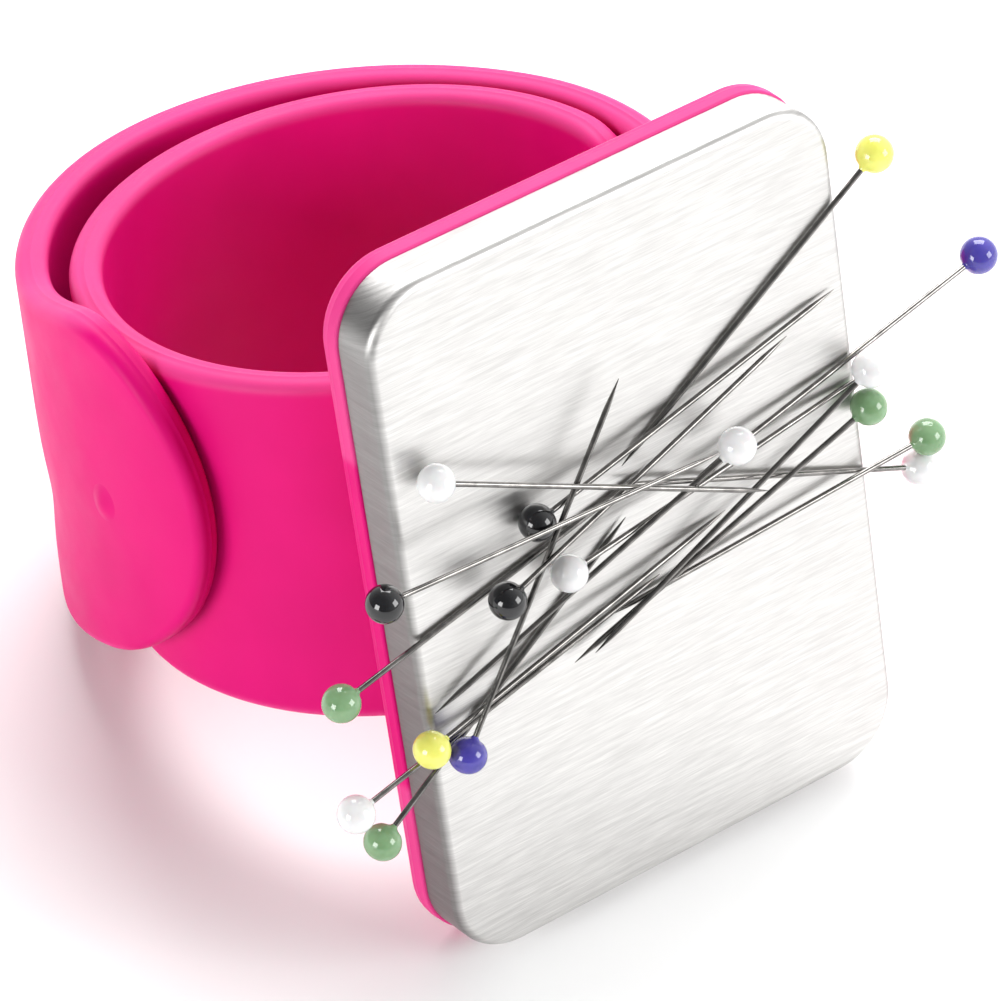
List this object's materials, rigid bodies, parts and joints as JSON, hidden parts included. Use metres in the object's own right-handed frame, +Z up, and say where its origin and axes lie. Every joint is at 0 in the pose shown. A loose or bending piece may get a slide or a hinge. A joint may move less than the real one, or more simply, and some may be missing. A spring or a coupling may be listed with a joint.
{
  "type": "magnetic wrist pin cushion",
  "caption": "Magnetic wrist pin cushion: a silicone slap band curled in a spiral carries a brushed steel plate that holds ball-head pins.",
  "frame": {"origin": "middle of the footprint box, on the surface that it stands on", "axes": "+Z up, +X across the plate to the right as seen from its steel face, +Y from the steel face towards the ring"},
  "size_m": [0.089, 0.0936, 0.0792],
  "materials": {
    "brushed_stainless": "fine brushing across the plate",
    "pink_silicone": "smooth matte moulded silicone",
    "spring_steel": "blue-grey rolled spring steel",
    "magnet": "sintered grey",
    "carrier_plastic": "moulded white plastic",
    "adhesive": "clear adhesive sheet",
    "pin_wire": "drawn nickelled steel",
    "glass_yellow": "opaque glossy glass",
    "glass_blue": "opaque glossy glass",
    "glass_white": "opaque glossy glass",
    "glass_green": "opaque glossy glass",
    "glass_black": "opaque glossy glass"
  },
  "bodies": {
    "holder": {"steel_plate": "brushed_stainless", "magnet_set": "magnet", "magnet_carrier": "carrier_plastic", "bonding_film": "adhesive", "silicone_tray": "pink_silicone", "band_saddle": "pink_silicone", "spring_tape": "spring_steel"},
    "outer_link_1": {"outer_link_1": "pink_silicone"},
    "outer_link_2": {"outer_link_2": "pink_silicone"},
    "outer_link_3": {"outer_link_3": "pink_silicone"},
    "outer_link_4": {"outer_link_4": "pink_silicone"},
    "outer_link_5": {"outer_link_5": "pink_silicone"},
    "outer_link_6": {"outer_link_6": "pink_silicone"},
    "outer_link_7": {"outer_link_7": "pink_silicone"},
    "outer_link_8": {"outer_link_8": "pink_silicone"},
    "outer_tip": {"outer_tip": "pink_silicone"},
    "inner_link_1": {"inner_link_1": "pink_silicone"},
    "inner_link_2": {"inner_link_2": "pink_silicone"},
    "inner_link_3": {"inner_link_3": "pink_silicone"},
    "inner_link_4": {"inner_link_4": "pink_silicone"},
    "inner_link_5": {"inner_link_5": "pink_silicone"},
    "inner_link_6": {"inner_link_6": "pink_silicone"},
    "inner_link_7": {"inner_link_7": "pink_silicone"},
    "inner_link_8": {"inner_link_8": "pink_silicone"},
    "inner_tip": {"inner_tip": "pink_silicone"},
    "pin_green_3": {"pin_shaft_green_3": "pin_wire", "pin_head_green_3": "glass_green"},
    "pin_yellow_1": {"pin_shaft_yellow_1": "pin_wire", "pin_head_yellow_1": "glass_yellow"},
    "pin_white_2": {"pin_shaft_white_2": "pin_wire", "pin_head_white_2": "glass_white"},
    "pin_green_4": {"pin_shaft_green_4": "pin_wire", "pin_head_green_4": "glass_green"},
    "pin_green_2": {"pin_shaft_green_2": "pin_wire", "pin_head_green_2": "glass_green"},
    "pin_green_1": {"pin_shaft_green_1": "pin_wire", "pin_head_green_1": "glass_green"},
    "pin_black_1": {"pin_shaft_black_1": "pin_wire", "pin_head_black_1": "glass_black"},
    "pin_white_6": {"pin_shaft_white_6": "pin_wire", "pin_head_white_6": "glass_white"},
    "pin_white_5": {"pin_shaft_white_5": "pin_wire", "pin_head_white_5": "glass_white"},
    "pin_yellow_2": {"pin_shaft_yellow_2": "pin_wire", "pin_head_yellow_2": "glass_yellow"},
    "pin_blue_1": {"pin_shaft_blue_1": "pin_wire", "pin_head_blue_1": "glass_blue"},
    "pin_white_3": {"pin_shaft_white_3": "pin_wire", "pin_head_white_3": "glass_white"},
    "pin_white_1": {"pin_shaft_white_1": "pin_wire", "pin_head_white_1": "glass_white"},
    "pin_blue_2": {"pin_shaft_blue_2": "pin_wire", "pin_head_blue_2": "glass_blue"},
    "pin_black_2": {"pin_shaft_black_2": "pin_wire", "pin_head_black_2": "glass_black"},
    "pin_white_4": {"pin_shaft_white_4": "pin_wire", "pin_head_white_4": "glass_white"},
    "pin_black_3": {"pin_shaft_black_3": "pin_wire", "pin_head_black_3": "glass_black"}
  },
  "joints": [
    {"name": "band_open", "type": "hinge", "parent": "holder", "child": "outer_link_1", "pos_m": [0.00144, -0.02324, 0.03723], "axis": [0, -0.2633, -0.9647], "range_deg": [0, 18.29], "stiffness_Nm_per_rad": 0.5, "deforming": ["spring_tape"]},
    {"name": "outer_bend_2", "type": "hinge", "parent": "outer_link_1", "child": "outer_link_2", "pos_m": [0.01759, -0.01809, 0.03582], "axis": [0, -0.2633, -0.9647], "range_deg": [0, 40.76]},
    {"name": "outer_bend_3", "type": "hinge", "parent": "outer_link_2", "child": "outer_link_3", "pos_m": [0.02671, -0.00342, 0.03182], "axis": [0, -0.2633, -0.9647], "range_deg": [0, 32.46]},
    {"name": "outer_bend_4", "type": "hinge", "parent": "outer_link_3", "child": "outer_link_4", "pos_m": [0.02624, 0.01379, 0.02712], "axis": [0, -0.2633, -0.9647], "range_deg": [0, 28.97]},
    {"name": "outer_bend_5", "type": "hinge", "parent": "outer_link_4", "child": "outer_link_5", "pos_m": [0.01709, 0.02879, 0.02302], "axis": [0, -0.2633, -0.9647], "range_deg": [0, 26.9]},
    {"name": "outer_bend_6", "type": "hinge", "parent": "outer_link_5", "child": "outer_link_6", "pos_m": [0.0012, 0.03861, 0.02034], "axis": [0, -0.2633, -0.9647], "range_deg": [0, 33.91]},
    {"name": "outer_bend_7", "type": "hinge", "parent": "outer_link_6", "child": "outer_link_7", "pos_m": [-0.01846, 0.03819, 0.02046], "axis": [0, -0.2633, -0.9647], "range_deg": [0, 37.44]},
    {"name": "outer_bend_8", "type": "hinge", "parent": "outer_link_7", "child": "outer_link_8", "pos_m": [-0.0338, 0.02632, 0.0237], "axis": [0, -0.2633, -0.9647], "range_deg": [0, 33.91]},
    {"name": "outer_bend_9", "type": "hinge", "parent": "outer_link_8", "child": "outer_tip", "pos_m": [-0.03943, 0.00895, 0.02844], "axis": [0, -0.2633, -0.9647], "range_deg": [0, 26.73]},
    {"name": "inner_bend_1", "type": "hinge", "parent": "holder", "child": "inner_link_1", "pos_m": [-0.01284, -0.02324, 0.03723], "axis": [0, 0.2633, 0.9647], "range_deg": [0, 29.5]},
    {"name": "inner_bend_2", "type": "hinge", "parent": "inner_link_1", "child": "inner_link_2", "pos_m": [-0.02656, -0.01575, 0.03518], "axis": [0, 0.2633, 0.9647], "range_deg": [0, 31]},
    {"name": "inner_bend_3", "type": "hinge", "parent": "inner_link_2", "child": "inner_link_3", "pos_m": [-0.03432, -0.00251, 0.03157], "axis": [0, 0.2633, 0.9647], "range_deg": [0, 31]},
    {"name": "inner_bend_4", "type": "hinge", "parent": "inner_link_3", "child": "inner_link_4", "pos_m": [-0.03391, 0.01269, 0.02742], "axis": [0, 0.2633, 0.9647], "range_deg": [0, 31]},
    {"name": "inner_bend_5", "type": "hinge", "parent": "inner_link_4", "child": "inner_link_5", "pos_m": [-0.02544, 0.02552, 0.02392], "axis": [0, 0.2633, 0.9647], "range_deg": [0, 31]},
    {"name": "inner_bend_6", "type": "hinge", "parent": "inner_link_5", "child": "inner_link_6", "pos_m": [-0.01133, 0.03231, 0.02206], "axis": [0, 0.2633, 0.9647], "range_deg": [0, 31]},
    {"name": "inner_bend_7", "type": "hinge", "parent": "inner_link_6", "child": "inner_link_7", "pos_m": [0.00439, 0.03112, 0.02239], "axis": [0, 0.2633, 0.9647], "range_deg": [0, 31]},
    {"name": "inner_bend_8", "type": "hinge", "parent": "inner_link_7", "child": "inner_link_8", "pos_m": [0.01723, 0.02228, 0.0248], "axis": [0, 0.2633, 0.9647], "range_deg": [0, 31]},
    {"name": "inner_bend_9", "type": "hinge", "parent": "inner_link_8", "child": "inner_tip", "pos_m": [0.02351, 0.00833, 0.02861], "axis": [0, 0.2633, 0.9647], "range_deg": [0, 34.5]},
    {"name": "draw_green_3", "type": "slide", "parent": "holder", "child": "pin_green_3", "axis": [-0.9744, -0.0592, -0.217], "range_m": [0, 0.045]},
    {"name": "draw_yellow_1", "type": "slide", "parent": "holder", "child": "pin_yellow_1", "axis": [0.8572, 0.1356, 0.4969], "range_m": [0, 0.045]},
    {"name": "draw_white_2", "type": "slide", "parent": "holder", "child": "pin_white_2", "axis": [0.9202, -0.0793, -0.3832], "range_m": [0, 0.045]},
    {"name": "draw_green_4", "type": "slide", "parent": "holder", "child": "pin_green_4", "axis": [-0.829, -0.1473, -0.5395], "range_m": [0, 0.045]},
    {"name": "draw_green_2", "type": "slide", "parent": "holder", "child": "pin_green_2", "axis": [0.9973, -0.0052, 0.0737], "range_m": [0, 0.045]},
    {"name": "draw_green_1", "type": "slide", "parent": "holder", "child": "pin_green_1", "axis": [0.945, 0.0551, 0.3223], "range_m": [0, 0.045]},
    {"name": "draw_black_1", "type": "slide", "parent": "holder", "child": "pin_black_1", "axis": [-0.9773, -0.0947, -0.1895], "range_m": [0, 0.045]},
    {"name": "draw_white_6", "type": "slide", "parent": "holder", "child": "pin_white_6", "axis": [-0.9742, -0.0757, -0.2125], "range_m": [0, 0.045]},
    {"name": "draw_white_5", "type": "slide", "parent": "holder", "child": "pin_white_5", "axis": [-0.993, -0.0816, -0.0859], "range_m": [0, 0.0015]},
    {"name": "draw_yellow_2", "type": "slide", "parent": "holder", "child": "pin_yellow_2", "axis": [-0.9765, -0.1111, -0.1848], "range_m": [0, 0.006]},
    {"name": "draw_blue_1", "type": "slide", "parent": "holder", "child": "pin_blue_1", "axis": [0.9799, 0.1066, 0.1683], "range_m": [0, 0.045]},
    {"name": "draw_white_3", "type": "slide", "parent": "holder", "child": "pin_white_3", "axis": [0.9165, 0.013, 0.3997], "range_m": [0, 0.045]},
    {"name": "draw_white_1", "type": "slide", "parent": "holder", "child": "pin_white_1", "axis": [0.9061, 0.0901, 0.4134], "range_m": [0, 0.045]},
    {"name": "draw_blue_2", "type": "slide", "parent": "holder", "child": "pin_blue_2", "axis": [-0.6015, -0.2408, -0.7617], "range_m": [0, 0.045]},
    {"name": "draw_black_2", "type": "slide", "parent": "holder", "child": "pin_black_2", "axis": [-0.9537, -0.1474, -0.262], "range_m": [0, 0.045]},
    {"name": "draw_white_4", "type": "slide", "parent": "holder", "child": "pin_white_4", "axis": [-0.9046, 0.1699, 0.3909], "range_m": [0, 0.045]},
    {"name": "draw_black_3", "type": "slide", "parent": "holder", "child": "pin_black_3", "axis": [-0.9993, 0.0186, 0.0311], "range_m": [0, 0.045]}
  ],
  "couplings": [
    {"joint": "outer_bend_2", "follows": "band_open", "ratio": 2.229},
    {"joint": "outer_bend_3", "follows": "band_open", "ratio": 1.7749},
    {"joint": "outer_bend_4", "follows": "band_open", "ratio": 1.5843},
    {"joint": "outer_bend_5", "follows": "band_open", "ratio": 1.4712},
    {"joint": "outer_bend_6", "follows": "band_open", "ratio": 1.8544},
    {"joint": "outer_bend_7", "follows": "band_open", "ratio": 2.0475},
    {"joint": "outer_bend_8", "follows": "band_open", "ratio": 1.8544},
    {"joint": "outer_bend_9", "follows": "band_open", "ratio": 1.4617},
    {"joint": "inner_bend_1", "follows": "band_open", "ratio": 1.6133},
    {"joint": "inner_bend_2", "follows": "band_open", "ratio": 1.6953},
    {"joint": "inner_bend_3", "follows": "band_open", "ratio": 1.6953},
    {"joint": "inner_bend_4", "follows": "band_open", "ratio": 1.6953},
    {"joint": "inner_bend_5", "follows": "band_open", "ratio": 1.6953},
    {"joint": "inner_bend_6", "follows": "band_open", "ratio": 1.6953},
    {"joint": "inner_bend_7", "follows": "band_open", "ratio": 1.6953},
    {"joint": "inner_bend_8", "follows": "band_open", "ratio": 1.6953},
    {"joint": "inner_bend_9", "follows": "band_open", "ratio": 1.8867}
  ]
}
